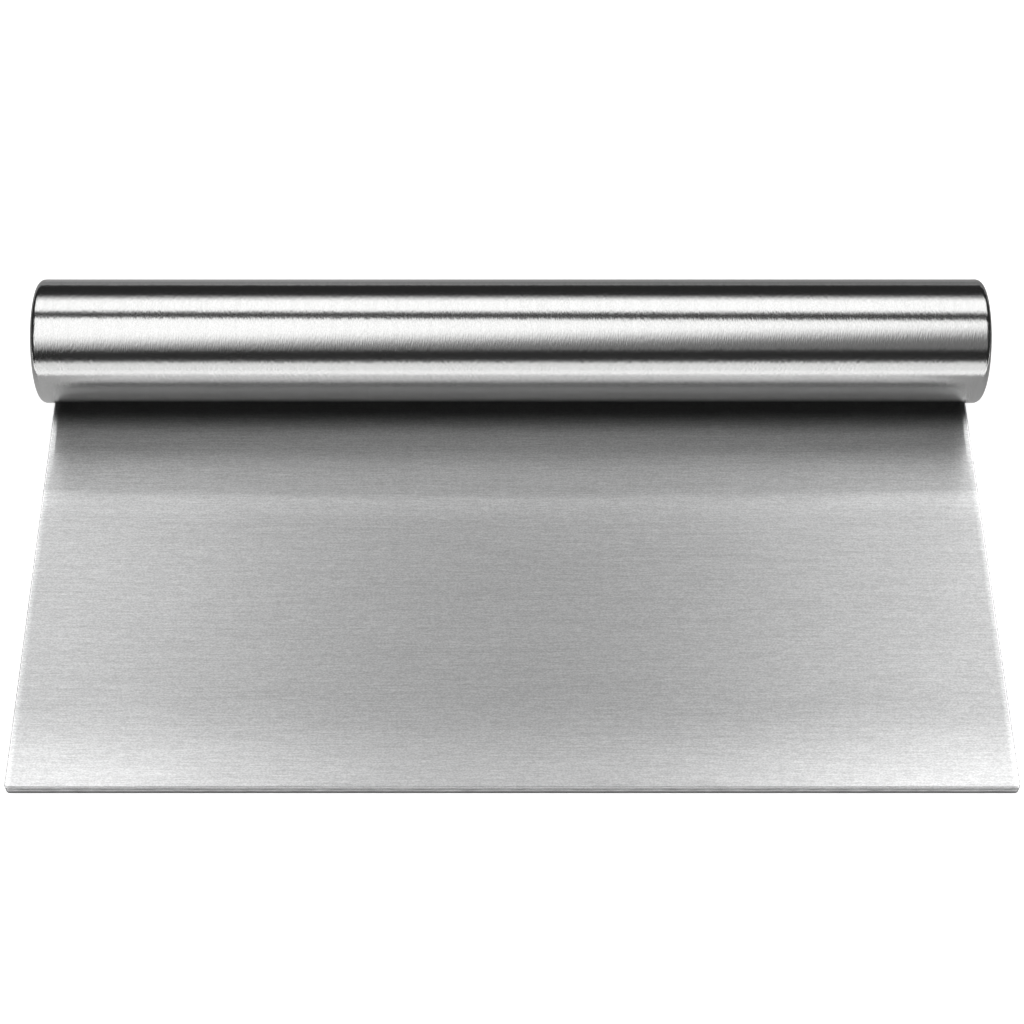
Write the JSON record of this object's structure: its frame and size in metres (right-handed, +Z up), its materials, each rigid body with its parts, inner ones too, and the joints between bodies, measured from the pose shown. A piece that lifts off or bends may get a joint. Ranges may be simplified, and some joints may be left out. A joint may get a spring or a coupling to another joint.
{
  "type": "icing smoother",
  "caption": "Flat rectangular steel icing smoother with a round tube handle welded across its back edge, for scraping cake sides and tops level.",
  "frame": {"origin": "under the middle of the bounding box, on the surface the blade lies on", "axes": "+X along the handle, to the right as seen from the free edge; -Y towards the free edge of the blade; +Z up, from the blade towards the handle"},
  "size_m": [0.152, 0.085, 0.022],
  "materials": {
    "blade_steel": "straight satin grain along the free edge, bright eased rims",
    "handle_steel": "fine turned satin grain round the tube",
    "cap_steel": "turned satin face with a polished round-over",
    "weld_steel": "brushed weld bead with fine ripples"
  },
  "bodies": {
    "root": {"blade": "blade_steel", "handle_tube": "handle_steel", "end_cap_left": "cap_steel", "end_cap_right": "cap_steel", "rear_weld": "weld_steel"}
  },
  "joints": []
}
